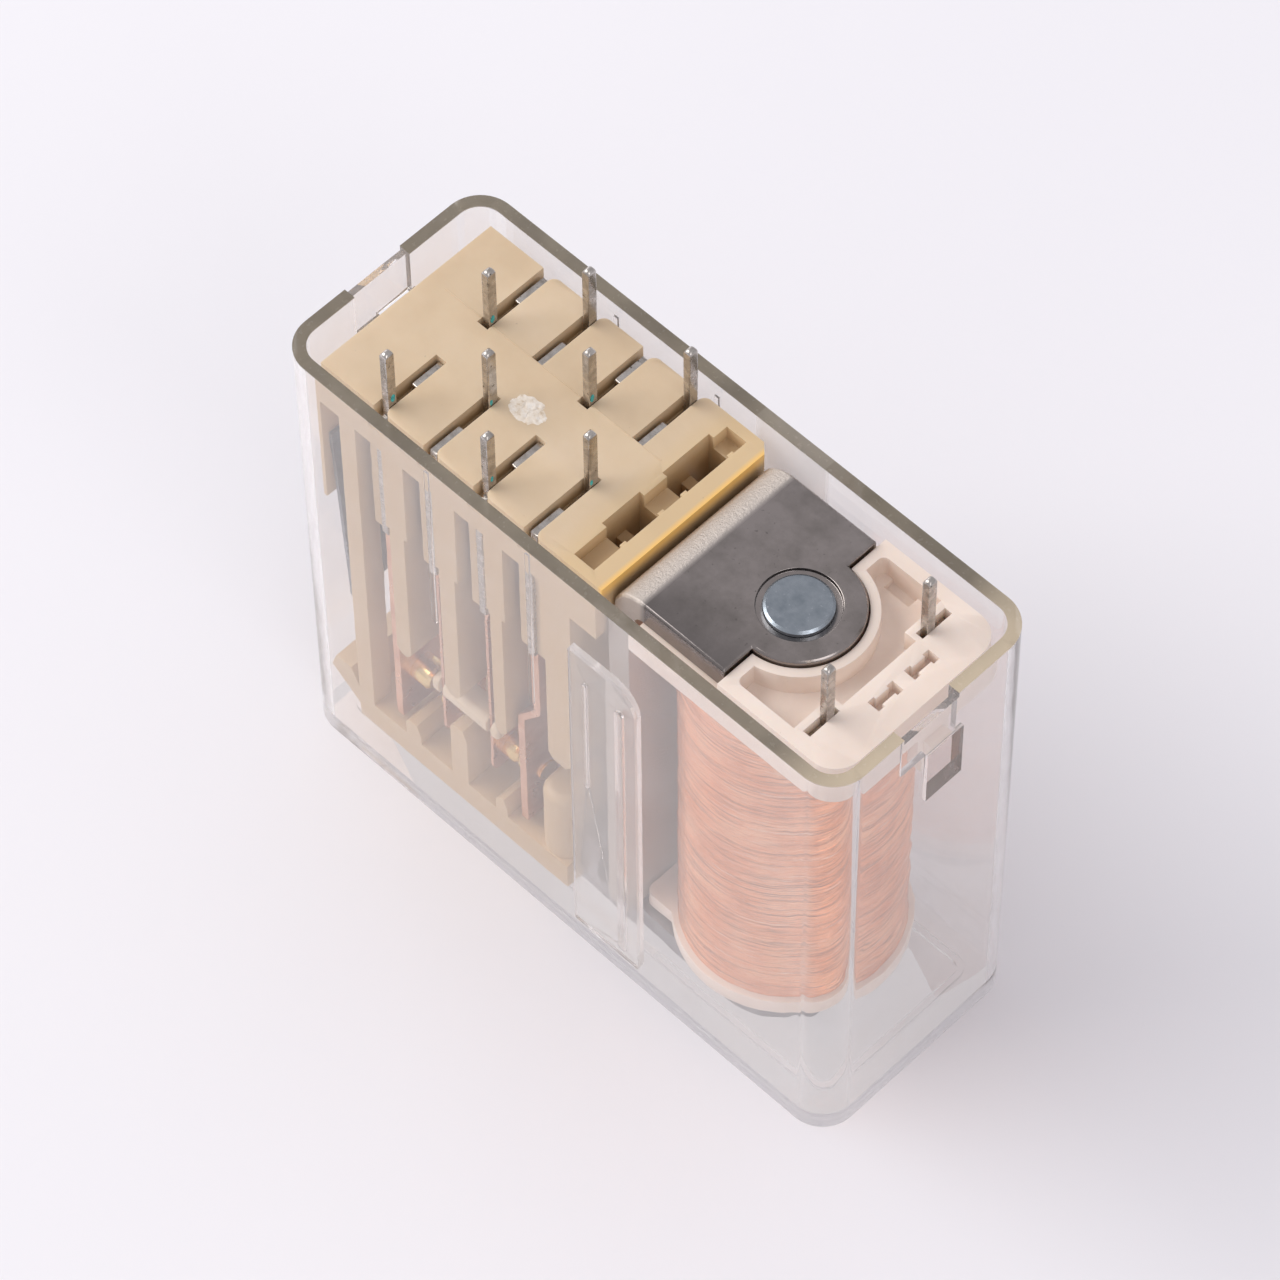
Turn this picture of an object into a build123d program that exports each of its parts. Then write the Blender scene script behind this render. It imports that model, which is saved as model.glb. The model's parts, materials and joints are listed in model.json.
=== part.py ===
"""Plug in relay with forcibly guided contacts, pins upward.

The origin is the centre of the cover's closed end. +Z runs along the pins,
+X towards the coil and +Y towards the row of terminals 5 to 8. Sizes are in mm.
The model stands at rest: coil not energised, the two outer pairs open.
"""

from build123d import *
from math import cos, radians, sin
import os

os.makedirs("parts", exist_ok=True)

# Printed circuit board grid and pins
grid = 3.75
first_column = -13.875
inner_row = grid / 2
outer_row = 1.5 * grid
coil_pin_x = 16.3
coil_pin_y = grid
pin_tip = 38.7
pin_thick = 0.5
pin_wide = 0.62

# Cover
cover_length = 41.0
cover_width = 15.3
cover_height = 35.0
cover_corner = 2.2
cover_wall = 0.75
closed_end = 1.0
rest_edge = 0.15
latch_front = -2.5
latch_back = 1.6
latch_groove = 0.35
rim_drop = 0.4
window_front = -0.6
window_back = 2.1
window_low = 27.1
window_high = 31.4
hook_front = 0.0
hook_back = 1.5
hook_low = 29.0
hook_high = 31.2
hook_tip = 20.1
rib_height = 0.5
rib_left = 1.0
rib_right = 5.92
rib_low = 1.2
rib_top = 28.3
rib_corner = 1.9

# Contact base
base_left = -18.4
end_wall = 0.25
base_right = 2.6
base_half = 6.35
base_top = 34.2
plate_bottom = 31.4
holder_half = 5.9
holder_bottom = 23.2
column_half = 0.95
wall_bottom = 12.7
centre_half = 0.9
tray_top = 4.6
tray_bottom = 2.6
tray_right = -0.1
pillar_top = 10.5
slot_end_outer = 1.7
slot_end_inner = 1.35
mouth_left = 0.5
mouth_right = 0.28
mouth_floor = 33.0
mouth_corner = 0.5
pocket_right = 1.4
pad_floor = 33.2

# Contacts
blade_top = 33.3
blade_bottom = 23.05
shoulder_top = 33.85
blade_outer = 6.1
spring_inner = 2.75
spring_outer = 5.85
spring_thick = 0.2
strip_thick = 0.5
spring_pivot = 23.0
spring_bottom = 7.2
strip_bottom = 5.0
strip_jog = 1.275
jog_high = 17.0
jog_low = 15.2
contact_z = 8.6
contact_radius = 0.9
contact_gap = 0.98
closed_gap = 0.03
shank_radius = 0.4
rivet_back = 0.15

# Actuator card
card_low = 10.9
card_high = 12.3
card_left = -16.87
card_right = 1.0
card_half = 1.3
card_reach = 6.1
card_slot = 0.4
finger_half = 0.75
side_bar = 4.7

# Return spring
leaf_top = 28.2
leaf_bottom = 10.4
leaf_top_x = -17.96
leaf_bottom_x = -16.98
leaf_thick = 0.25
leaf_half = 5.95

# Magnet
core_x = 10.7
yoke_outer = 2.75
yoke_thick = 1.6
yoke_half = 5.7
yoke_top = 34.6
yoke_bottom = 4.5
yoke_flange_end = 10.8
yoke_bend = 2.2
lobe_radius = 3.6
core_end_radius = 1.9
core_radius = 2.5
pole_radius = 3.9
pole_top = 5.2
bobbin_right = 19.35
bobbin_half = 6.3
bobbin_top = 34.2
flange_top = 32.95
flange_bottom = 31.7
lower_flange_top = 5.6
lower_flange_radius = 6.35
tube_radius = 3.4
winding_radius = 6.05
pivot_x = 2.8
pivot_z = 4.4
armature_thick = 1.5
armature_reach = 12.4
armature_half = 5.2
armature_corner = 4.0
armature_swing = 5.5
arm_outer = -2.45
arm_inner = -1.35
arm_top = 8.2
arm_half = 3.6


def save(piece, label):
    """Name one finished piece and write it to its own file."""
    piece.part.label = label
    export_step(piece.part, f"parts/{label}.step")


def span(x0, x1, y0, y1, z0, z1, mode=Mode.ADD):
    """Add or cut a box between two corners in the builder around it."""
    with Locations(((x0 + x1) / 2, (y0 + y1) / 2, (z0 + z1) / 2)):
        Box(abs(x1 - x0), abs(y1 - y0), abs(z1 - z0), mode=mode)


def column(index):
    """X of one of the four columns of contact pins."""
    return first_column + grid * index


def pin_outside(index, side):
    """True where the pin stands at the outer end of its blade."""
    return (index % 2 == 0) == (side < 0)


# ---------------------------------------------------------------- cover
end_half = cover_length / 2
side_half = cover_width / 2
inner_x = end_half - cover_wall
inner_y = side_half - cover_wall

with BuildPart() as cover:
    with BuildSketch():
        RectangleRounded(cover_length, cover_width, cover_corner)
    extrude(amount=cover_height)
    chamfer(cover.faces().sort_by(Axis.Z)[0].edges(), rest_edge)
    with BuildSketch(Plane.XY.offset(closed_end)):
        RectangleRounded(2 * inner_x, 2 * inner_y, cover_corner - cover_wall)
    extrude(amount=cover_height, mode=Mode.SUBTRACT)
    # Low ridge round the inside of the closed end
    with BuildSketch(Plane.XY.offset(closed_end)):
        RectangleRounded(2 * inner_x - 2.4, 2 * inner_y - 2.4, 1.0)
        RectangleRounded(2 * inner_x - 3.2, 2 * inner_y - 3.2, 0.6, mode=Mode.SUBTRACT)
    extrude(amount=0.3)
    # Latch window, lead-in groove and lowered rim in each end wall
    for end in (-1, 1):
        span(end * inner_x, end * (end_half + 1), window_front, window_back,
             window_low, window_high, mode=Mode.SUBTRACT)
        span(end * inner_x, end * (inner_x + latch_groove), latch_front, latch_back,
             window_high, cover_height + 1, mode=Mode.SUBTRACT)
        span(end * (inner_x - 1), end * (end_half + 1), latch_front, latch_back,
             cover_height - rim_drop, cover_height + 1, mode=Mode.SUBTRACT)
    # Raised panel with a rounded shoulder between the contact and coil chambers
    for side in (-1, 1):
        with BuildSketch(Plane.XZ.offset(-side * inner_y)) as panel:
            with Locations(((rib_left + rib_right) / 2, (rib_low + rib_top) / 2)):
                Rectangle(rib_right - rib_left, rib_top - rib_low)
            fillet(panel.vertices().group_by(Axis.Y)[-1].sort_by(Axis.X)[-1], rib_corner)
            with Locations((4.7, 13.9)):
                SlotCenterToCenter(23.6, 0.6, rotation=90, mode=Mode.SUBTRACT)
            with Locations((2.15, 20.9)):
                SlotCenterToCenter(9.8, 0.3, rotation=90, mode=Mode.SUBTRACT)
        extrude(amount=side * rib_height)
    # Shallow guide ribs beside the contact base
    for x in (-9.4, -1.9):
        for side in (-1, 1):
            span(x - 0.15, x + 0.15, side * (inner_y - 0.12), side * inner_y, 20.0, 34.0)
save(cover, "cover")


# ---------------------------------------------------------------- contact base
with BuildPart() as contact_base:
    # Top plate and the frame at its coil end
    span(base_left, base_right, -base_half, base_half, plate_bottom, base_top)
    span(-0.7, base_right, -base_half, base_half, 30.2, plate_bottom)
    chamfer(
        contact_base.edges().filter_by(Axis.Z).sort_by(Axis.X)[-2:].sort_by(Axis.Y)[-1], 0.55
    )
    # Centre wall, blade holders and dividing walls
    span(-15.4, 0.4, -centre_half, centre_half, wall_bottom, plate_bottom)
    for side in (-1, 1):
        for index in range(4):
            x = column(index)
            span(x - column_half, x + column_half, side * 0.5, side * holder_half,
                 holder_bottom, plate_bottom)
        for x0, x1, z0 in (
            (-13.2, -12.1, 12.7),
            (-9.4, -8.2, 12.7),
            (-5.5, -4.6, 12.9),
            (-1.3, 0.4, 14.8),
        ):
            with BuildSketch(Plane.XZ.offset(-side * 0.6)):
                with BuildLine():
                    Polyline(
                        (x0, plate_bottom), (x0, z0 + 0.5), (x0 + 0.35, z0),
                        (x1 - 0.35, z0), (x1, z0 + 0.5), (x1, plate_bottom), close=True
                    )
                make_face()
            extrude(amount=-side * (base_half - 0.6))
            # Collar where the dividing wall meets the blade holders
            span(x0 - 0.25, x1 + 0.25, side * (base_half - 0.9), side * base_half,
                 24.5, plate_bottom)
        # Post that carries the tray
        span(-16.7, -15.5, side * 5.0, side * base_half, tray_bottom, plate_bottom)
    # End wall and the seat of the return spring
    span(base_left, base_left + end_wall, -base_half, base_half, 22.6, plate_bottom)
    span(base_left + end_wall, -17.3, -5.0, 5.0, leaf_top + 0.2, plate_bottom)
    # Snap hook that reaches into the cover's window
    with BuildSketch(Plane.XZ.offset(-hook_front)):
        with BuildLine():
            Polyline(
                (base_left, hook_low), (-hook_tip, hook_high), (base_left, hook_high), close=True
            )
        make_face()
    extrude(amount=hook_front - hook_back)
    # Tray with its sloped lip, blocks and end pillars
    with BuildSketch(Plane.XZ):
        with BuildLine():
            Polyline(
                (-18.9, 5.4), (-18.5, 6.6), (-17.3, 6.6), (-16.4, tray_top),
                (tray_right, tray_top), (tray_right, tray_bottom - 0.1), (-0.9, tray_bottom - 0.1),
                (-15.4, tray_bottom), close=True
            )
        make_face()
    extrude(amount=base_half, both=True)
    for side in (-1, 1):
        for x0, x1, z1 in ((-12.9, -11.7, 6.2), (-9.2, -7.9, 9.7), (-5.7, -4.8, 6.0)):
            with BuildSketch(Plane.XZ.offset(-side * 1.6)):
                with BuildLine():
                    Polyline(
                        (x0, tray_top), (x0, z1 - 0.4), (x0 + 0.3, z1),
                        (x1 - 0.3, z1), (x1, z1 - 0.8), (x1, tray_top), close=True
                    )
                make_face()
            extrude(amount=-side * (base_half - 1.6))
        with BuildSketch(Plane.XY.offset(tray_top)):
            with Locations((-1.35, side * 4.15)):
                RectangleRounded(2.4, 4.3, 1.1)
        extrude(amount=pillar_top - tray_top)
    pillar_faces = contact_base.faces().filter_by_position(Axis.Z, pillar_top - 0.01, pillar_top + 0.01)
    fillet(pillar_faces.edges(), 0.6)
    # Fine witness ridge along the top
    span(-17.2, -1.0, 1.67, 1.73, base_top, base_top + 0.03)
    # Blade slots: a wide mouth at the top, a fitting slot below it
    for side in (-1, 1):
        for index in range(4):
            x = column(index)
            inner_end = slot_end_outer if pin_outside(index, side) else slot_end_inner
            span(x - mouth_left, x + mouth_right, side * inner_end, side * (base_half + 1),
                 mouth_floor, base_top + 1, mode=Mode.SUBTRACT)
            span(x - pin_thick / 2, x + pin_thick / 2, side * inner_end, side * blade_outer,
                 holder_bottom - 1, base_top + 1, mode=Mode.SUBTRACT)
    # Rounded corner on the coil side of every slot mouth
    mouth_corners = contact_base.edges().filter_by(Axis.Z).filter_by_position(
        Axis.Z, mouth_floor, base_top
    ).filter_by(lambda edge: abs(abs(edge.center().Y) - base_half) < 0.01)
    fillet(
        mouth_corners.filter_by(
            lambda edge: any(abs(edge.center().X - column(i) - mouth_right) < 0.01 for i in range(4))
        ),
        mouth_corner,
    )
    # Pocket in the frame, with pads and two windows
    span(-0.05, pocket_right, -5.7, 5.7, pad_floor, base_top + 1, mode=Mode.SUBTRACT)
    for y0, y1 in ((-3.3, -0.5), (1.2, 4.7)):
        span(-0.4, pocket_right, y0, y1, 29.0, base_top + 1, mode=Mode.SUBTRACT)
        middle = (y0 + y1) / 2
        span(-0.4, pocket_right, middle - 0.35, middle + 0.35, 30.6, 31.8)
        for y in (y0, y1):
            span(pocket_right - 0.3, pocket_right, y - 0.2, y + 0.2, pad_floor, pad_floor + 0.7)
save(contact_base, "contact_base")


# ---------------------------------------------------------------- contacts
def make_terminal(index, side):
    """Pin and blade of one contact terminal, in one stamping."""
    x = column(index)
    outside = pin_outside(index, side)
    pin_y = side * (outer_row if outside else inner_row)
    inner_end = slot_end_outer if outside else slot_end_inner
    with BuildPart() as terminal:
        span(x - pin_thick / 2, x + pin_thick / 2, side * inner_end, side * blade_outer,
             blade_bottom, blade_top)
        # Shoulder at the end of the blade away from the pin
        shoulder = (inner_end, 3.8) if outside else (3.9, blade_outer)
        span(x - pin_thick / 2, x + pin_thick / 2, side * shoulder[0], side * shoulder[1],
             blade_top, shoulder_top)
        span(x - pin_thick / 2, x + pin_thick / 2, pin_y - pin_wide / 2, pin_y + pin_wide / 2,
             blade_top, pin_tip)
        chamfer(terminal.faces().sort_by(Axis.Z)[-1].edges(), 0.15)
    return terminal


def make_strip(x, side, jog):
    """Fixed contact strip with a hole for its rivet; the lower part steps jog towards -X."""
    half = strip_thick / 2
    width = spring_outer - spring_inner
    with BuildPart() as strip:
        with BuildSketch(Plane.XZ.offset(-side * spring_inner)):
            with BuildLine():
                Polyline(
                    (x - half, blade_bottom), (x + half, blade_bottom), (x + half, jog_high),
                    (x + half - jog, jog_low), (x + half - jog, strip_bottom),
                    (x - half - jog, strip_bottom), (x - half - jog, jog_low),
                    (x - half, jog_high), close=True
                )
            make_face()
        extrude(amount=-side * width)
        with Locations((x - jog, side * (spring_inner + width / 2), contact_z)):
            Cylinder(shank_radius, 2 * strip_thick, rotation=(0, 90, 0), mode=Mode.SUBTRACT)
    return strip


def make_moving_spring(x, side):
    """Thin contact spring below its root, with a hole for its rivet."""
    middle = side * (spring_inner + spring_outer) / 2
    with BuildPart() as spring:
        with BuildSketch(Plane.YZ.offset(x - spring_thick / 2)):
            with Locations((middle, (spring_pivot - 0.1 + spring_bottom) / 2)):
                RectangleRounded(
                    spring_outer - spring_inner, spring_pivot - 0.1 - spring_bottom, 0.6
                )
            with Locations((middle, 17.0)):
                SlotCenterToCenter(6.0, 0.7, rotation=90, mode=Mode.SUBTRACT)
            with Locations((middle, contact_z)):
                Circle(shank_radius, mode=Mode.SUBTRACT)
        extrude(amount=spring_thick)
    return spring


def make_rivet(face_x, back_x, side, direction, height):
    """Contact rivet: domed head towards direction, shank through the hole, small back head."""
    y = side * (spring_inner + spring_outer) / 2
    with BuildPart() as rivet:
        with BuildSketch(Plane.YZ.offset(face_x)):
            with Locations((y, contact_z)):
                Circle(contact_radius)
        extrude(amount=direction * height)
        chamfer(rivet.faces().sort_by(Axis.X, reverse=direction > 0)[0].edges(), 0.2)
        with BuildSketch(Plane.YZ.offset(face_x)):
            with Locations((y, contact_z)):
                Circle(shank_radius)
        extrude(amount=-direction * abs(face_x - back_x))
        with BuildSketch(Plane.YZ.offset(back_x)):
            with Locations((y, contact_z)):
                Circle(0.65)
        extrude(amount=-direction * rivet_back)
    return rivet


number = 0
for side in (-1, 1):
    for index in range(4):
        number += 1
        save(make_terminal(index, side), f"terminal_{number}")

half_strip = strip_thick / 2
half_spring = spring_thick / 2
open_fixed = column(0) + half_strip
open_moving = column(1) - half_spring
closed_moving = column(2) + half_spring
closed_fixed = column(3) - strip_jog - half_strip
moving_head = 1.05
open_head = open_moving - open_fixed - moving_head - contact_gap
closed_head = closed_fixed - closed_moving - moving_head - closed_gap

for pair, side in enumerate((-1, 1)):
    opening = 2 * pair + 1
    closing = 2 * pair + 2
    save(make_strip(column(0), side, 0), f"fixed_spring_{opening}")
    save(make_strip(column(3), side, strip_jog), f"fixed_spring_{closing}")
    save(make_moving_spring(column(1), side), f"moving_spring_{opening}")
    save(make_moving_spring(column(2), side), f"moving_spring_{closing}")
    save(make_rivet(open_fixed, open_fixed - strip_thick, side, 1, open_head),
         f"fixed_contact_{opening}")
    save(make_rivet(open_moving, open_moving + spring_thick, side, -1, moving_head),
         f"moving_contact_{opening}")
    save(make_rivet(closed_moving, closed_moving - spring_thick, side, 1, moving_head),
         f"moving_contact_{closing}")
    save(make_rivet(closed_fixed, closed_fixed + strip_thick, side, -1, closed_head),
         f"fixed_contact_{closing}")


# ---------------------------------------------------------------- actuator card
with BuildPart() as actuator_card:
    span(card_left, card_right, -card_half, card_half, card_low, card_high)
    for index in (1, 2):
        x = column(index)
        span(x - finger_half, x + finger_half, -card_reach, card_reach, card_low, card_high)
    # Side bars that join the fingers and stiffen the card
    for side in (-1, 1):
        span(column(1), column(2), side * side_bar, side * card_reach, card_low, card_high)
    fillet(actuator_card.edges().filter_by(Axis.Z), 0.25)
    ends = actuator_card.faces().sort_by(Axis.X)
    fillet(ends[0].edges().filter_by(Axis.Y) + ends[-1].edges().filter_by(Axis.Y), 0.5)
    for index in (1, 2):
        for side in (-1, 1):
            x = column(index)
            span(x - card_slot / 2, x + card_slot / 2, side * (spring_inner - 0.15),
                 side * (card_reach + 1), card_low - 1, card_high + 1, mode=Mode.SUBTRACT)
save(actuator_card, "actuator_card")


# ---------------------------------------------------------------- return spring
with BuildPart() as return_spring:
    with BuildSketch(Plane.XZ):
        with BuildLine():
            Polyline(
                (leaf_top_x - leaf_thick / 2, leaf_top), (leaf_top_x + leaf_thick / 2, leaf_top),
                (leaf_bottom_x + leaf_thick / 2, leaf_bottom),
                (leaf_bottom_x - leaf_thick / 2, leaf_bottom), close=True
            )
        make_face()
    extrude(amount=leaf_half, both=True)
    # Narrow foot that meets the card
    for side in (-1, 1):
        span(leaf_bottom_x - 1, leaf_bottom_x + 1, side * 2.2, side * (leaf_half + 1),
             leaf_bottom - 1, 13.6, mode=Mode.SUBTRACT)
save(return_spring, "return_spring")


# ---------------------------------------------------------------- yoke and core
with BuildPart() as yoke:
    with BuildSketch(Plane.XZ) as yoke_profile:
        with BuildLine():
            Polyline(
                (yoke_outer, yoke_bottom), (yoke_outer, yoke_top), (yoke_flange_end, yoke_top),
                (yoke_flange_end, yoke_top - yoke_thick),
                (yoke_outer + yoke_thick, yoke_top - yoke_thick),
                (yoke_outer + yoke_thick, yoke_bottom), close=True
            )
        make_face()
        corners = yoke_profile.vertices().group_by(Axis.Y)[-1].sort_by(Axis.X)
        fillet(corners[0], yoke_bend)
        inside = yoke_profile.vertices().filter_by_position(
            Axis.X, yoke_outer + yoke_thick - 0.01, yoke_outer + yoke_thick + 0.01
        ).sort_by(Axis.Y)
        fillet(inside[-1], 0.6)
    extrude(amount=yoke_half, both=True)
    with BuildSketch(Plane.XY.offset(yoke_top - yoke_thick)):
        with Locations((core_x, 0)):
            Circle(lobe_radius)
    extrude(amount=yoke_thick)
    chamfer(yoke.faces().sort_by(Axis.Z)[-1].outer_wire().edges(), 0.15)
    with BuildSketch(Plane.XY.offset(yoke_top)):
        with Locations((core_x, 0)):
            Circle(core_end_radius)
    extrude(amount=-yoke_thick, mode=Mode.SUBTRACT)
    with BuildSketch(Plane.XY.offset(yoke_top)):
        with Locations((core_x, 0)):
            Circle(2.3)
    extrude(amount=-0.25, mode=Mode.SUBTRACT)
save(yoke, "yoke")

with BuildPart() as core:
    with BuildSketch(Plane.XZ):
        with BuildLine():
            Polyline(
                (core_x, yoke_bottom), (core_x + pole_radius, yoke_bottom),
                (core_x + pole_radius, pole_top), (core_x + core_radius, pole_top),
                (core_x + core_radius, yoke_top - yoke_thick),
                (core_x + core_end_radius, yoke_top - yoke_thick),
                (core_x + core_end_radius, yoke_top), (core_x + core_end_radius - 0.15, yoke_top + 0.12),
                (core_x, yoke_top + 0.12), close=True
            )
        make_face()
    revolve(axis=Axis((core_x, 0, 0), (0, 0, 1)))
save(core, "core")


# ---------------------------------------------------------------- bobbin and winding
slot_x0 = coil_pin_x - pin_thick / 2
slot_x1 = coil_pin_x + pin_thick / 2
blade_y0 = 3.1
blade_y1 = 5.3
pocket_floor = 32.7
lobe_wall = 0.55

with BuildPart() as bobbin:
    # Plate under the yoke and block beside it
    span(yoke_outer + yoke_thick + 0.6, bobbin_right, -bobbin_half, bobbin_half,
         flange_bottom, flange_top)
    span(yoke_flange_end + 0.1, bobbin_right, -bobbin_half, bobbin_half, flange_top, bobbin_top)
    fillet(bobbin.edges().filter_by(Axis.Z).group_by(Axis.X)[-1], 1.7)
    # Recess round the yoke's lobe
    with BuildSketch(Plane.XY.offset(flange_top)):
        with Locations((core_x, 0)):
            Circle(lobe_radius + 0.1)
    extrude(amount=bobbin_top, mode=Mode.SUBTRACT)
    # Pockets on both sides of the curved wall
    with BuildSketch(Plane.XY.offset(pocket_floor)):
        with Locations((13.95, 0)):
            RectangleRounded(4.9, 11.0, 0.4)
        with Locations((core_x, 0)):
            Circle(lobe_radius + 0.1 + lobe_wall, mode=Mode.SUBTRACT)
    extrude(amount=bobbin_top, mode=Mode.SUBTRACT)
    for side in (-1, 1):
        # Lower step in the corner of each pocket
        span(12.2, 14.0, side * 4.8, side * 5.5, pocket_floor - 0.4, bobbin_top, mode=Mode.SUBTRACT)
        # Boss round the coil terminal
        span(slot_x0 - 0.45, slot_x1 + 0.3, side * (blade_y0 - 0.35), side * (blade_y1 + 0.3),
             flange_bottom, bobbin_top)
        span(slot_x0, slot_x1, side * blade_y0, side * blade_y1,
             flange_bottom - 1, bobbin_top + 1, mode=Mode.SUBTRACT)
    # I-shaped moulding slots
    with BuildSketch(Plane.XY.offset(bobbin_top)):
        for y in (-0.8, 1.9):
            with Locations((17.6, y)):
                Rectangle(0.45, 1.8)
            with Locations((17.6, y - 0.7), (17.6, y + 0.7)):
                Rectangle(0.8, 0.45)
    extrude(amount=-0.9, mode=Mode.SUBTRACT)
    # Tube and lower flange with its lip towards the yoke
    with BuildSketch(Plane.XY.offset(lower_flange_top)):
        with Locations((core_x, 0)):
            Circle(tube_radius)
    extrude(amount=flange_bottom - lower_flange_top)
    with BuildSketch(Plane.XY.offset(yoke_bottom)):
        with Locations((core_x, 0)):
            Circle(lower_flange_radius)
        with Locations((7.1, 0)):
            RectangleRounded(5.2, 9.6, 0.5)
    extrude(amount=lower_flange_top - yoke_bottom)
    # Seat for the pole disc
    with BuildSketch(Plane.XY.offset(yoke_bottom)):
        with Locations((core_x, 0)):
            Circle(pole_radius)
    extrude(amount=pole_top - yoke_bottom, mode=Mode.SUBTRACT)
    with Locations((core_x, 0, (flange_top + pole_top) / 2)):
        Cylinder(core_radius, flange_top - pole_top + 1, mode=Mode.SUBTRACT)
    # Tongue with the snap hook that reaches into the cover's window
    span(bobbin_right - 0.7, bobbin_right, hook_front - 0.4, hook_back + 0.4, hook_low, flange_bottom)
    with BuildSketch(Plane.XZ.offset(-hook_front)):
        with BuildLine():
            Polyline(
                (bobbin_right, hook_low), (hook_tip, hook_high), (bobbin_right, hook_high), close=True
            )
        make_face()
    extrude(amount=hook_front - hook_back)
save(bobbin, "bobbin")

with BuildPart() as winding:
    with BuildSketch(Plane.XY.offset(lower_flange_top)):
        with Locations((core_x, 0)):
            Circle(winding_radius)
            Circle(tube_radius, mode=Mode.SUBTRACT)
    extrude(amount=flange_bottom - lower_flange_top)
save(winding, "winding")


def make_coil_terminal(side):
    """Coil pin with the blade that stands in the bobbin's slot."""
    with BuildPart() as terminal:
        span(slot_x0, slot_x1, side * blade_y0, side * blade_y1, 31.0, 33.5)
        span(slot_x0, slot_x1, side * coil_pin_y - pin_wide / 2, side * coil_pin_y + pin_wide / 2,
             33.5, pin_tip)
        chamfer(terminal.faces().sort_by(Axis.Z)[-1].edges(), 0.15)
    return terminal


def make_coil_lead(side):
    """Wire end from the foot of the coil terminal to the side of the winding."""
    angle = radians(41)
    reach = winding_radius + 0.08
    foot = (coil_pin_x, side * 4.6, 31.0)
    bend = (coil_pin_x, side * 4.6, 30.2)
    end = (core_x + reach * cos(angle), side * reach * sin(angle), 29.0)
    with BuildPart() as lead:
        with BuildLine() as route:
            FilletPolyline(foot, bend, end, radius=0.35)
        with BuildSketch(Plane(origin=foot, z_dir=(0, 0, -1))):
            Circle(0.08)
        sweep(path=route.wire())
    return lead


for number, side in enumerate((-1, 1), start=1):
    save(make_coil_terminal(side), f"coil_terminal_{number}")
    save(make_coil_lead(side), f"coil_lead_{number}")


# ---------------------------------------------------------------- armature
def swung(u, w):
    """Point of the armature, given from its pivot in the closed position, at rest."""
    tilt = radians(armature_swing)
    return (pivot_x + u * cos(tilt) + w * sin(tilt), pivot_z - u * sin(tilt) + w * cos(tilt))


with BuildPart() as armature:
    with BuildSketch(Plane.XZ):
        with BuildLine():
            Polyline(
                swung(arm_outer, -armature_thick), swung(arm_outer, 3.0), swung(arm_inner, 3.0),
                swung(arm_inner, 0), swung(armature_reach, 0),
                swung(armature_reach, -armature_thick), close=True
            )
        make_face()
    extrude(amount=armature_half, both=True)
    # Free end rounded to suit the pole disc
    fillet(
        armature.faces().sort_by(Axis.X)[-1].edges().filter_by(Axis.Y, reverse=True), armature_corner
    )
    with BuildSketch(Plane.XZ):
        with BuildLine():
            Polyline(
                swung(arm_outer, 3.0), swung(arm_outer, arm_top), swung(arm_inner, arm_top),
                swung(arm_inner, 3.0), close=True
            )
        make_face()
    extrude(amount=arm_half, both=True)
save(armature, "armature")
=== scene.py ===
"""Looks of the plug in relay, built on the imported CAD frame. All lengths are in metres."""

import json
import random
from math import cos, pi, radians, sin

import bmesh
import bpy
from mathutils import Matrix, Vector, noise


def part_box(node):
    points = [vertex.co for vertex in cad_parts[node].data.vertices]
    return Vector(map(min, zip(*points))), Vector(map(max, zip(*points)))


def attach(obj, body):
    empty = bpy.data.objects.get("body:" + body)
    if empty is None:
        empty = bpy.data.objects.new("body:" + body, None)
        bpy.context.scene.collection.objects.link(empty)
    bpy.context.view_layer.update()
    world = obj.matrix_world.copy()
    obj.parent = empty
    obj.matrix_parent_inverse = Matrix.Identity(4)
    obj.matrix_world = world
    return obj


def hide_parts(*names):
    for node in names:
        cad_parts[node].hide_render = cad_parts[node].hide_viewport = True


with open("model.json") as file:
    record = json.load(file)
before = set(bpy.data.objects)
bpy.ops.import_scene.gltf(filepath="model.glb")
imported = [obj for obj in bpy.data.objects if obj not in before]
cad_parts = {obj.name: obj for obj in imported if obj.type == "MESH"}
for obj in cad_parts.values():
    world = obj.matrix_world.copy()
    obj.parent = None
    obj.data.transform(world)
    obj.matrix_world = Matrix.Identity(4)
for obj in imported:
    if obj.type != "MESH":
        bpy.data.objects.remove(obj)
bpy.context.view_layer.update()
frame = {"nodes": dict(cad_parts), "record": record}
nodes = frame["nodes"]
scene = bpy.context.scene
MM = 0.001


# ---------------------------------------------------------------- camera
VIEW_AZIMUTH = radians(45.22)
VIEW_ELEVATION = radians(56.22)
VIEW_ROLL = radians(-0.75)
VIEW_DISTANCE = 0.36964
VIEW_AIM = Vector((-0.00711, 0.00605, 0.00622))
LENS = 183.37
SENSOR_WIDTH = 36


def make_camera():
    """Camera at the viewing angle of the reference view."""
    back = Vector((
        sin(VIEW_AZIMUTH) * cos(VIEW_ELEVATION),
        -cos(VIEW_AZIMUTH) * cos(VIEW_ELEVATION),
        sin(VIEW_ELEVATION),
    ))
    right = Vector((0, 0, 1)).cross(back).normalized()
    up = back.cross(right)
    turned_right = right * cos(VIEW_ROLL) + up * sin(VIEW_ROLL)
    turned_up = up * cos(VIEW_ROLL) - right * sin(VIEW_ROLL)
    data = bpy.data.cameras.new("view_camera")
    data.lens = LENS
    data.sensor_width = SENSOR_WIDTH
    data.clip_start = 0.01
    data.clip_end = 10
    camera = bpy.data.objects.new("view_camera", data)
    scene.collection.objects.link(camera)
    turn = Matrix((turned_right, turned_up, back)).transposed().to_4x4()
    camera.matrix_world = Matrix.Translation(VIEW_AIM + back * VIEW_DISTANCE) @ turn
    scene.camera = camera


make_camera()


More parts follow.
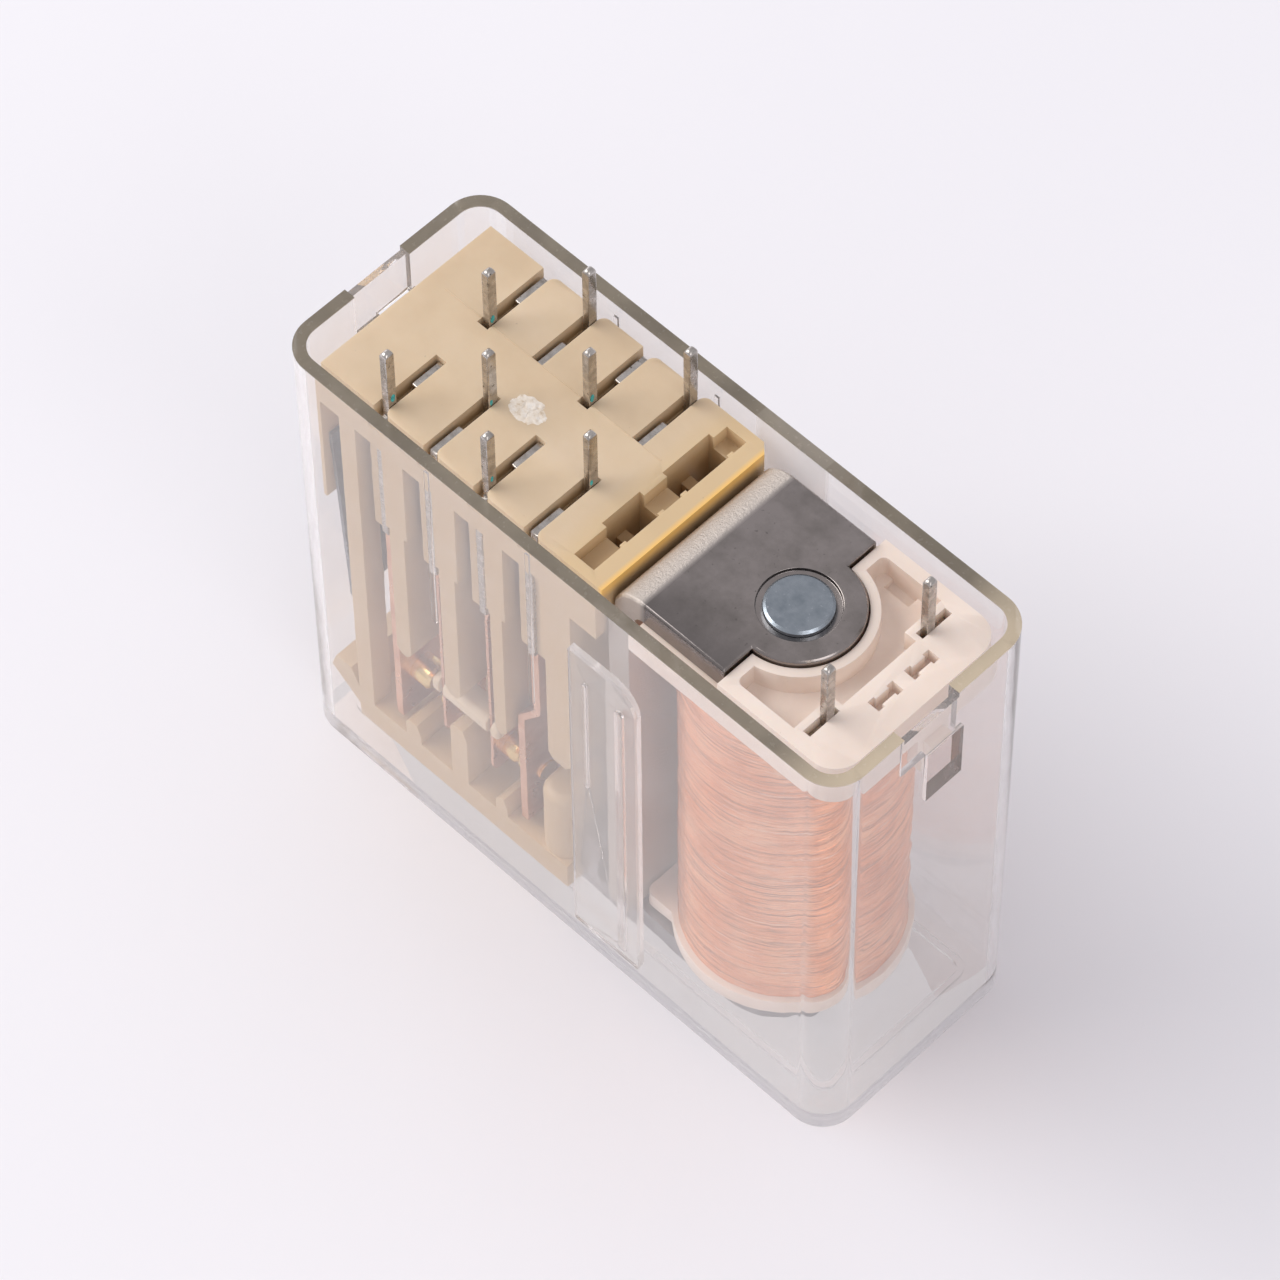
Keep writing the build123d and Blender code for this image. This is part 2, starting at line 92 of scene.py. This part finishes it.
# ---------------------------------------------------------------- material tools
BLACK = (0, 0, 0)
WHITE = (1, 1, 1)
EVEN = (1, 1, 1)


class Surface:
    """A node material with short ways to add noise, ramps and bump."""

    def __init__(self, name):
        self.material = bpy.data.materials.new(name)
        self.material.use_nodes = True
        self.tree = self.material.node_tree
        self.nodes = self.tree.nodes
        self.shader = self.nodes["Principled BSDF"]
        self.output = self.nodes["Material Output"]
        self.place = self.nodes.new("ShaderNodeTexCoord").outputs["Object"]
        self.normal = None

    def link(self, source, target):
        self.tree.links.new(source, target)

    def stretch(self, x, y, z, turn=(0, 0, 0)):
        """Coordinates scaled along each axis, where a small scale draws the pattern out."""
        node = self.nodes.new("ShaderNodeMapping")
        node.inputs["Scale"].default_value = (x, y, z)
        node.inputs["Rotation"].default_value = turn
        self.link(self.place, node.inputs["Vector"])
        return node.outputs["Vector"]

    def grain(self, size, detail=3.0, roughness=0.55, vector=None):
        """Noise with features of about size metres."""
        node = self.nodes.new("ShaderNodeTexNoise")
        node.inputs["Scale"].default_value = 1 / size
        node.inputs["Detail"].default_value = detail
        node.inputs["Roughness"].default_value = roughness
        self.link(vector or self.place, node.inputs["Vector"])
        return node.outputs["Fac"]

    def ramp(self, value, stops):
        """Colour ramp from a list of (position, colour)."""
        node = self.nodes.new("ShaderNodeValToRGB")
        elements = node.color_ramp.elements
        while len(elements) < len(stops):
            elements.new(0.5)
        for element, (position, colour) in zip(elements, stops):
            element.position = position
            element.color = (*colour, 1)
        self.link(value, node.inputs["Fac"])
        return node.outputs["Color"]

    def spread(self, value, low, high):
        """Maps noise around its middle to the range from low to high."""
        node = self.nodes.new("ShaderNodeMapRange")
        node.inputs["From Min"].default_value = 0.3
        node.inputs["From Max"].default_value = 0.7
        node.inputs["To Min"].default_value = low
        node.inputs["To Max"].default_value = high
        self.link(value, node.inputs["Value"])
        return node.outputs["Result"]

    def along(self, axis, low, high):
        """Runs from 0 to 1 as one coordinate goes from low to high millimetres."""
        split = self.nodes.new("ShaderNodeSeparateXYZ")
        self.link(self.place, split.inputs["Vector"])
        node = self.nodes.new("ShaderNodeMapRange")
        node.inputs["From Min"].default_value = low * MM
        node.inputs["From Max"].default_value = high * MM
        self.link(split.outputs[axis], node.inputs["Value"])
        return node.outputs["Result"]

    def blend(self, factor, first, second):
        """Mix of two colours."""
        node = self.nodes.new("ShaderNodeMix")
        node.data_type = "RGBA"
        self.link(factor, node.inputs["Factor"])
        for socket, colour in ((node.inputs[6], first), (node.inputs[7], second)):
            if isinstance(colour, tuple):
                socket.default_value = (*colour[:3], 1)
            else:
                self.link(colour, socket)
        return node.outputs[2]

    def combine(self, operation, first, second):
        """Two values, or a value and a number, in one sum."""
        node = self.nodes.new("ShaderNodeMath")
        node.operation = operation
        self.link(first, node.inputs[0])
        if isinstance(second, float):
            node.inputs[1].default_value = second
        else:
            self.link(second, node.inputs[1])
        return node.outputs["Value"]

    def mix_shaders(self, factor, first, second):
        """Mix of two shaders."""
        node = self.nodes.new("ShaderNodeMixShader")
        self.link(factor, node.inputs["Fac"])
        self.link(first, node.inputs[1])
        self.link(second, node.inputs[2])
        return node.outputs["Shader"]

    def colour(self, source):
        """Links the base colour."""
        self.link(source, self.shader.inputs["Base Color"])

    def roughness(self, source):
        """Links the roughness."""
        self.link(source, self.shader.inputs["Roughness"])

    def bump(self, height, depth):
        """Adds a bump of about depth metres."""
        node = self.nodes.new("ShaderNodeBump")
        node.inputs["Strength"].default_value = 1.0
        node.inputs["Distance"].default_value = depth
        self.link(height, node.inputs["Height"])
        if self.normal is not None:
            self.link(self.normal, node.inputs["Normal"])
        self.normal = node.outputs["Normal"]
        self.link(self.normal, self.shader.inputs["Normal"])

    def set(self, **values):
        for name, value in values.items():
            self.shader.inputs[name.replace("_", " ")].default_value = value


def plastic(name, light, dark, edge, rough=0.42, tints_and_painted_light=()):
    """Moulded engineering plastic with slight cloudiness and a fine tool texture.

    Each entry of tints_and_painted_light is (axis, low, high, colour): the colour takes over along
    that axis; some are tints of the plastic, some painted shade and painted light.
    """
    s = Surface(name)
    cloud = s.grain(4.5 * MM, 4.0)
    flow = s.grain(1.2 * MM, 5.0, 0.6, s.stretch(0.35, 1.0, 1.0))
    colour = s.ramp(cloud, [(0.3, dark), (0.52, light), (0.75, edge)])
    for axis, low, high, colour_shift in tints_and_painted_light:
        colour = s.blend(s.along(axis, low, high), colour, colour_shift)
    speck = s.ramp(s.grain(0.33 * MM, 2.0), [(0.77, BLACK), (0.83, WHITE)])
    colour = s.blend(speck, colour, tuple(0.55 * c for c in dark))
    s.colour(colour)
    s.roughness(s.spread(flow, rough - 0.09, rough + 0.10))
    s.bump(s.grain(0.16 * MM, 2.0), 0.004 * MM)
    s.bump(s.grain(2.2 * MM, 2.0), 0.02 * MM)
    s.set(IOR=1.52, Subsurface_Weight=0.12, Subsurface_Scale=1.2 * MM)
    s.shader.inputs["Subsurface Radius"].default_value = (1.0, 0.7, 0.45)
    return s.material


def metal(name, light, dark, rough=0.28, brushed=EVEN, depth=0.002, spots=None, size=1.6):
    """Plated or bare metal with rolling marks, tarnish and fine pits."""
    s = Surface(name)
    lines = s.grain(0.10 * MM, 3.0, 0.6, s.stretch(*brushed))
    tarnish = s.grain(size * MM, 5.0, 0.62)
    colour = s.ramp(tarnish, [(0.30, dark), (0.62, light)])
    if spots:
        mask = s.ramp(s.grain(0.28 * MM, 2.0), [(0.66, BLACK), (0.74, WHITE)])
        colour = s.blend(mask, colour, spots)
    s.colour(colour)
    s.roughness(s.spread(tarnish, rough + 0.10, rough - 0.06))
    s.bump(lines, depth * MM)
    s.bump(s.grain(0.7 * MM, 3.0), 0.006 * MM)
    s.set(Metallic=1.0)
    return s.material


# The yoke's flange is darker past these Y, a painted dark reflection, and is grained and pale below
# the bend's X, the paleness a painted highlight of the bright band the bend reflects
YOKE_PAINTED_DARK_REFLECTION = (-2.5, -7.5)
YOKE_BEND = (5.1, 4.7)


def yoke_plate():
    """Nickel plate, smooth on the flange and grained where it is bent, with a painted dark
    reflection toward the front and a painted highlight on the bend.
    """
    s = Surface("nickel_plate")
    tarnish = s.grain(2.2 * MM, 5.0, 0.62)
    colour = s.ramp(tarnish, [(0.30, (0.25, 0.225, 0.21)), (0.62, (0.37, 0.33, 0.315))])
    mask = s.ramp(s.grain(0.24 * MM, 2.0), [(0.68, BLACK), (0.76, WHITE)])
    colour = s.blend(mask, colour, (0.20, 0.18, 0.17))
    # Painted dark reflection: the flange's colour darkens toward the front
    colour = s.blend(s.along("Y", *YOKE_PAINTED_DARK_REFLECTION), colour, (0.16, 0.145, 0.14))
    bent_grain_and_highlight = s.along("X", *YOKE_BEND)
    # Painted highlight: the bend is paler, standing in for the bright band it reflects; its grain
    # and roughness are real
    s.colour(s.blend(bent_grain_and_highlight, colour, (0.60, 0.545, 0.50)))
    s.roughness(s.blend(bent_grain_and_highlight, (0.22,) * 3, (0.58,) * 3))
    s.bump(s.grain(0.10 * MM, 3.0, 0.6, s.stretch(1, 0.06, 1)), 0.002 * MM)
    s.bump(s.grain(0.9 * MM, 3.0), 0.008 * MM)
    s.bump(s.combine("MULTIPLY", bent_grain_and_highlight, s.grain(0.22 * MM, 4.0, 0.75)), 0.07 * MM)
    s.set(Metallic=1.0)
    return s.material


# Where the cover's look changes, in millimetres
RIM_FACE = (34.90, 34.97)
# Painted warmth of the rim's face toward the coil end, part of its painted reflection
RIM_PAINTED_WARMTH = (16, 20.3)
PANEL_LEFT = (0.9, 1.0)
PANEL_RIGHT = (6.0, 5.9)
PANEL_FRONT = (-6.74, -6.70)
PANEL_FOOT = (1.12, 1.2)


def cover_veil(s):
    """How much of the cover is haze: a little on the walls, more on the raised panels."""
    panel = s.blend(s.along("X", *PANEL_LEFT), BLACK, s.along("X", *PANEL_RIGHT))
    panel = s.blend(s.along("Y", *PANEL_FRONT), BLACK, panel)
    panel = s.blend(s.along("Z", *PANEL_FOOT), BLACK, panel)
    thin = s.spread(s.grain(5 * MM, 4.0, 0.6, s.stretch(1, 1, 0.5)), 0.055, 0.105)
    return s.blend(panel, thin, (0.30,) * 3)


def rim_painted_reflection(s):
    """Satin shader of the rim's face whose olive colour, warmer at the coil end, is painted
    reflection standing in for light caught inside the clear wall's edge.
    """
    face = s.nodes.new("ShaderNodeBsdfPrincipled")
    # Painted reflection: the olive stands in for light caught inside the clear wall's edge
    painted_olive = s.ramp(
        s.grain(4 * MM, 3.0), [(0.35, (0.15, 0.125, 0.085)), (0.65, (0.22, 0.185, 0.13))]
    )
    s.link(
        s.blend(s.along("X", *RIM_PAINTED_WARMTH), painted_olive, (0.62, 0.51, 0.36)), face.inputs["Base Color"]
    )
    s.link(s.spread(s.grain(0.3 * MM), 0.16, 0.30), face.inputs["Roughness"])
    return face.outputs["BSDF"]


def clear_plastic():
    """Clear polycarbonate that lamps shine through, faintly hazy, with a satin rim whose olive
    colour is painted reflection.
    """
    s = Surface("clear_polycarbonate")
    rubbed = s.grain(0.5 * MM, 6.0, 0.7, s.stretch(1.0, 1.0, 0.12))
    scuff = s.ramp(rubbed, [(0.60, BLACK), (0.82, WHITE)])
    s.roughness(s.blend(scuff, (0.015,) * 3, (0.12,) * 3))
    s.colour(s.ramp(s.grain(6 * MM), [(0.3, (0.985, 0.968, 0.955)), (0.7, (0.995, 0.985, 0.98))]))
    s.bump(s.grain(5.5 * MM, 2.0), 0.02 * MM)
    s.set(IOR=1.45, Transmission_Weight=1.0)
    haze = s.nodes.new("ShaderNodeBsdfDiffuse")
    s.link(
        s.ramp(s.grain(3 * MM), [(0.3, (0.88, 0.83, 0.80)), (0.7, (0.94, 0.91, 0.89))]),
        haze.inputs["Color"],
    )
    veiled = s.mix_shaders(cover_veil(s), s.shader.outputs["BSDF"], haze.outputs["BSDF"])
    rim = s.combine("MULTIPLY", s.along("Z", *RIM_FACE), 0.78)
    capped = s.mix_shaders(rim, veiled, rim_painted_reflection(s))
    # Light on its way to the pieces inside passes straight through
    through = s.nodes.new("ShaderNodeBsdfTransparent")
    through.inputs["Color"].default_value = (0.97, 0.955, 0.945, 1)
    rays = s.nodes.new("ShaderNodeLightPath")
    either = s.combine("MAXIMUM", rays.outputs["Is Shadow Ray"], rays.outputs["Is Diffuse Ray"])
    s.link(s.mix_shaders(either, capped, through.outputs["BSDF"]), s.output.inputs["Surface"])
    return s.material


def wire_enamel():
    """Enamelled copper wire, with painted shade in the gaps between the turns and painted highlights
    on bright crossing threads.
    """
    s = Surface("enamelled_wire")
    tone = s.grain(2.6 * MM, 4.0, 0.6)
    colour = s.ramp(
        tone, [(0.30, (0.86, 0.34, 0.16)), (0.5, (0.98, 0.45, 0.24)), (0.72, (1.0, 0.55, 0.33))]
    )
    tilt = (radians(4), radians(-3), 0)
    threads = s.grain(0.55 * MM, 5.0, 0.75, s.stretch(0.09, 0.09, 4.2, tilt))
    # Painted shade: the gaps between the turns are darkened
    painted_gap_shade = s.ramp(threads, [(0.38, WHITE), (0.50, BLACK)])
    colour = s.blend(painted_gap_shade, colour, (0.48, 0.20, 0.12))
    # Painted highlights: crossing threads are brightened like glints on the wire
    cross_tilt = (radians(-6), radians(6), 0)
    crossing = s.grain(0.5 * MM, 4.0, 0.7, s.stretch(0.10, 0.10, 4.0, cross_tilt))
    painted_glints = s.ramp(crossing, [(0.60, BLACK), (0.68, WHITE)])
    s.colour(s.blend(painted_glints, colour, (0.98, 0.70, 0.56)))
    s.roughness(s.spread(threads, 0.20, 0.28))
    s.bump(threads, 0.012 * MM)
    s.set(Metallic=0.95, Coat_Weight=0.25, Coat_Roughness=0.15)
    return s.material


def torn_plastic():
    """Whitened, torn surface of a broken-off moulding gate."""
    s = Surface("torn_plastic")
    tear = s.grain(0.5 * MM, 5.0, 0.7)
    s.colour(s.ramp(
        tear, [(0.32, (0.50, 0.36, 0.22)), (0.45, (0.78, 0.68, 0.56)), (0.65, (0.88, 0.82, 0.75))]
    ))
    s.roughness(s.spread(tear, 0.45, 0.75))
    s.bump(s.grain(0.18 * MM, 3.0), 0.03 * MM)
    return s.material


def marking_paint():
    """Drops of teal marking lacquer."""
    s = Surface("teal_lacquer")
    s.colour(s.ramp(s.grain(0.2 * MM), [(0.35, (0.02, 0.30, 0.30)), (0.65, (0.05, 0.50, 0.48))]))
    s.roughness(s.spread(s.grain(0.15 * MM), 0.12, 0.25))
    s.bump(s.grain(0.12 * MM), 0.004 * MM)
    return s.material


# The contact base is browner inward of the middle, amber on its inner face, the bright amber partly
# painted light for the glow through the plastic where the base shades it, and darker below its upper
# plate as painted shade: (axis, from, to, colour), in millimetres
BASE_TINTS_AND_PAINTED_LIGHT = (
    ("X", -1.5, 0.0, (0.66, 0.49, 0.29)),
    # Partly painted light: a real amber tint, brightened to stand in for the glow through the
    # plastic where the base shades this face
    ("X", 2.25, 2.55, (0.90, 0.55, 0.17)),
    # Painted shade: the base's lower structure is darker below its upper plate
    ("Z", 33.9, 33.2, (0.55, 0.39, 0.22)),
)
# Rolling marks run along the axis with the small scale
LENGTHWISE = (0.08, 1, 1)
UPRIGHT = (1, 1, 0.08)

LOOKS = {
    "clear_plastic": clear_plastic(),
    "beige_plastic": plastic(
        "beige_thermoplastic", (0.67, 0.52, 0.355), (0.62, 0.47, 0.31), (0.71, 0.56, 0.40),
        tints_and_painted_light=BASE_TINTS_AND_PAINTED_LIGHT,
    ),
    "card_plastic": plastic(
        "card_thermoplastic", (0.68, 0.54, 0.38), (0.62, 0.48, 0.32), (0.72, 0.60, 0.44)
    ),
    "ivory_plastic": plastic(
        "ivory_thermoplastic", (0.83, 0.705, 0.62), (0.79, 0.66, 0.57), (0.86, 0.75, 0.67),
        rough=0.38,
    ),
    "nickel_iron": yoke_plate(),
    "zinc_iron": metal(
        "zinc_plate", (0.37, 0.41, 0.45), (0.24, 0.275, 0.31), 0.30,
        depth=0.003, spots=(0.52, 0.56, 0.60), size=0.7,
    ),
    "dark_iron": metal("dark_plate", (0.30, 0.30, 0.33), (0.18, 0.18, 0.20), 0.36, LENGTHWISE),
    "dark_steel": metal("blued_spring", (0.17, 0.18, 0.21), (0.09, 0.10, 0.12), 0.30, UPRIGHT),
    "tinned_pin": metal(
        "tinned_metal", (0.60, 0.565, 0.53), (0.36, 0.33, 0.30), 0.26, (1, 1, 0.12),
        depth=0.006, spots=(0.16, 0.14, 0.12), size=0.5,
    ),
    "contact_copper": metal("copper_strip", (0.85, 0.50, 0.33), (0.70, 0.36, 0.22), 0.30, UPRIGHT),
    "spring_bronze": metal("bronze_spring", (0.82, 0.47, 0.32), (0.66, 0.34, 0.22), 0.26, UPRIGHT),
    "contact_gold": metal("gold_flash", (0.93, 0.70, 0.30), (0.80, 0.55, 0.20), 0.20),
    "enamelled_copper": wire_enamel(),
}

# Widths of the rounded edges, in millimetres
PIN_BEVEL = 0.09
BEVELS = {
    "contact_base": 0.12,
    "bobbin": 0.10,
    "yoke": 0.10,
    "armature": 0.10,
    "actuator_card": 0.04,
    "cover": 0.05,
}


def soften(node, width):
    """Rounds a CAD node's edges for the render by modifiers alone."""
    for polygon in node.data.polygons:
        polygon.use_smooth = True
    weld = node.modifiers.new("weld", "WELD")
    weld.merge_threshold = 0.002 * MM
    bevel = node.modifiers.new("round_edges", "BEVEL")
    bevel.width = width * MM
    bevel.segments = 2
    bevel.limit_method = "ANGLE"
    bevel.angle_limit = radians(38)
    bevel.miter_outer = "MITER_ARC"
    normals = node.modifiers.new("normals", "WEIGHTED_NORMAL")
    normals.keep_sharp = False
    normals.weight = 60


def dress_cad_nodes():
    """Gives each CAD node its material, and rounds the edges of the larger ones."""
    slots = {part["node"]: part["material_slot"] for part in frame["record"]["subparts"]}
    for name, node in nodes.items():
        look = LOOKS[slots[name]]
        for slot in node.material_slots:
            slot.material = look
        if name.startswith(("terminal", "coil_terminal")):
            soften(node, PIN_BEVEL)
        elif name in BEVELS:
            soften(node, BEVELS[name])


dress_cad_nodes()


# ---------------------------------------------------------------- added pieces
def finish_piece(name, mesh, look, body):
    """Makes an object from a mesh, with its material, slot and body."""
    for polygon in mesh.polygons:
        polygon.use_smooth = True
    piece = bpy.data.objects.new(name, mesh)
    scene.collection.objects.link(piece)
    mesh.materials.append(look)
    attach(piece, body)
    return piece


WIRE_PITCH = 0.105 * MM
COIL_AROUND = 128
# One turn from gap to gap: share of the pitch, and depth in pitches below the crest
TURN_PROFILE = ((0.0, -0.55), (0.30, -0.12), (0.5, 0.0), (0.70, -0.12))


def make_winding():
    """The coil's outer layer, turn by turn, each turn a little uneven."""
    low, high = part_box("winding")
    centre = (low + high) / 2
    radius = (high.x - low.x) / 2
    turns = int((high.z - low.z) / WIRE_PITCH)
    rng = random.Random(7)
    vertices = []
    faces = []
    lean = [rng.uniform(-1, 1) for _ in range(turns + 1)]
    swell = [rng.uniform(-1, 1) for _ in range(turns + 1)]
    for turn in range(turns):
        for step, depth in TURN_PROFILE:
            for k in range(COIL_AROUND):
                angle = 2 * pi * k / COIL_AROUND
                sway = noise.noise((cos(angle) * 1.3, sin(angle) * 1.3, turn * 0.06))
                tip = 0.16 * lean[turn] * cos(angle + lean[turn] * 3)
                height = turn + step + 0.30 * sway + tip
                height = min(max(height, 0.0), turns)
                bulge = noise.noise((cos(angle) * 2, sin(angle) * 2, turn * 0.03 + 9))
                r = radius - WIRE_PITCH * (0.45 - depth * 0.8 - 0.10 * swell[turn] - 0.12 * bulge)
                vertices.append((
                    centre.x + r * cos(angle), centre.y + r * sin(angle), low.z + height * WIRE_PITCH
                ))
    rows = turns * len(TURN_PROFILE)
    for row in range(rows - 1):
        for k in range(COIL_AROUND):
            a = row * COIL_AROUND + k
            b = row * COIL_AROUND + (k + 1) % COIL_AROUND
            faces.append((a, b, b + COIL_AROUND, a + COIL_AROUND))
    mesh = bpy.data.meshes.new("wound_coil")
    mesh.from_pydata(vertices, [], faces)
    piece = finish_piece("wound_coil", mesh, LOOKS["enamelled_copper"], "housing")
    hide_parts("winding")


make_winding()

# The gate mark in millimetres: its centre past terminal 2 and off the middle, the base's
# face below the cover's rim, and its half sizes
GATE_PAST_TERMINAL = 1.565
GATE_OFF_MIDDLE = -0.87
BASE_BELOW_RIM = 0.8
GATE_HALF_X = 1.18
GATE_HALF_Y = 0.86
GATE_RINGS = 22
GATE_AROUND = 96


def make_gate_mark():
    """Torn patch where the moulding gate was broken off: a ragged disc with deep cracks."""
    centre_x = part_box("terminal_2")[1].x / MM + GATE_PAST_TERMINAL
    centre_y = GATE_OFF_MIDDLE
    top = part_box("cover")[1].z - BASE_BELOW_RIM * MM
    vertices = [(centre_x * MM, centre_y * MM, top + 0.05 * MM)]
    faces = [(0, 1 + k, 1 + (k + 1) % GATE_AROUND) for k in range(GATE_AROUND)]
    for ring in range(1, GATE_RINGS + 1):
        share = ring / GATE_RINGS
        for k in range(GATE_AROUND):
            angle = 2 * pi * k / GATE_AROUND
            ragged = noise.noise((cos(angle) * 2.4, sin(angle) * 2.4, 3.0))
            edge = 1 + 0.22 * ragged + 0.07 * noise.noise((cos(angle) * 9, sin(angle) * 9, 5.0))
            x = (centre_x + GATE_HALF_X * share * edge * cos(angle)) * MM
            y = (centre_y + GATE_HALF_Y * share * edge * sin(angle)) * MM
            crack = abs(noise.noise((x * 1500, y * 1500, 6.0)))
            tear = noise.noise((x * 4200, y * 4200, 1.0))
            torn = 0.45 + 0.35 * tear + min(crack * 5, 1) * 0.7
            rise = 0.075 * (1 - share ** 5) * torn - 0.012
            vertices.append((x, y, top + max(rise, -0.01) * MM))
    for ring in range(GATE_RINGS - 1):
        for k in range(GATE_AROUND):
            a = 1 + ring * GATE_AROUND + k
            b = 1 + ring * GATE_AROUND + (k + 1) % GATE_AROUND
            faces.append((a, a + GATE_AROUND, b + GATE_AROUND, b))
    mesh = bpy.data.meshes.new("gate_mark")
    mesh.from_pydata(vertices, [], faces)
    finish_piece("gate_mark", mesh, torn_plastic(), "housing")


make_gate_mark()


# Each drop: terminal, distance in from its outer end, and height above the rim, in
# millimetres, and whether it is one of the larger ones
DROPS = (
    (1, 0.50, -0.20, True),
    (2, 4.08, -0.50, False),
    (3, 0.44, -0.10, False),
    (4, 4.04, -0.38, False),
    (5, 4.31, -0.32, True),
    (7, 4.34, -0.24, True),
)
LARGE_DROP = Vector((0.05, 0.15, 0.30)) * MM
SMALL_DROP = Vector((0.035, 0.10, 0.22)) * MM


def make_lacquer_drops():
    """Small drops of marking lacquer on the pins, just above the contact base."""
    paint = marking_paint()
    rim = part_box("cover")[1].z
    for number, inward, above, large in DROPS:
        low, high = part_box(f"terminal_{number}")
        y = low.y + inward * MM if low.y < -high.y else high.y - inward * MM
        middle = Vector((high.x, y, rim + above * MM))
        reach = LARGE_DROP if large else SMALL_DROP
        mesh = bpy.data.meshes.new(f"lacquer_{number}")
        rig = bmesh.new()
        bmesh.ops.create_icosphere(rig, subdivisions=4, radius=1.0)
        for vertex in rig.verts:
            swell = 1 + 0.22 * noise.noise(vertex.co * 1.7 + Vector((number, 0, 0)))
            vertex.co = middle + vertex.co * reach * swell
        rig.to_mesh(mesh)
        rig.free()
        finish_piece(f"lacquer_drop_{number}", mesh, paint, "housing")


make_lacquer_drops()


# ---------------------------------------------------------------- floor and light
FLOOR_HALF = 1.6


def make_stage():
    """Seamless pale floor."""
    s = Surface("studio_floor")
    s.colour(s.ramp(s.grain(0.12, 2.0), [(0.3, (0.83, 0.82, 0.86)), (0.7, (0.85, 0.84, 0.875))]))
    s.roughness(s.spread(s.grain(0.02), 0.55, 0.65))
    s.bump(s.grain(0.004), 0.01 * MM)
    corners = [
        (-FLOOR_HALF, -FLOOR_HALF, 0),
        (FLOOR_HALF, -FLOOR_HALF, 0),
        (FLOOR_HALF, FLOOR_HALF, 0),
        (-FLOOR_HALF, FLOOR_HALF, 0),
    ]
    mesh = bpy.data.meshes.new("floor")
    mesh.from_pydata(corners, [], [(0, 1, 2, 3)])
    floor = bpy.data.objects.new("floor", mesh)
    mesh.materials.append(s.material)
    scene.collection.objects.link(floor)


def area_light(name, place, target, size, power, colour):
    """Soft box that faces a target."""
    data = bpy.data.lights.new(name, "AREA")
    data.shape = "RECTANGLE"
    data.size, data.size_y = size
    data.energy = power
    data.color = colour
    light = bpy.data.objects.new(name, data)
    scene.collection.objects.link(light)
    light.location = place
    light.rotation_euler = (Vector(target) - Vector(place)).to_track_quat("-Z", "Y").to_euler()


def make_lights():
    """A large soft box from the left, a low one behind it, and weak light from the front."""
    area_light("key", (-1.05, -0.55, 0.95), (0, 0, 0.01), (1.3, 1.1), 17.5, (1.0, 0.985, 0.97))
    area_light("side", (-0.80, 0.38, 0.32), (0, 0, 0.02), (0.35, 0.3), 0.6, (1.0, 0.98, 0.96))
    area_light("fill", (1.10, -0.30, 0.90), (0, 0, 0.01), (0.8, 0.6), 3.4, (1.0, 0.98, 0.99))
    world = bpy.data.worlds.new("soft_room")
    scene.world = world
    world.use_nodes = True
    background = world.node_tree.nodes["Background"]
    background.inputs["Color"].default_value = (0.97, 0.955, 1.0, 1)
    background.inputs["Strength"].default_value = 0.60


make_stage()
make_lights()
scene.view_settings.view_transform = "Standard"
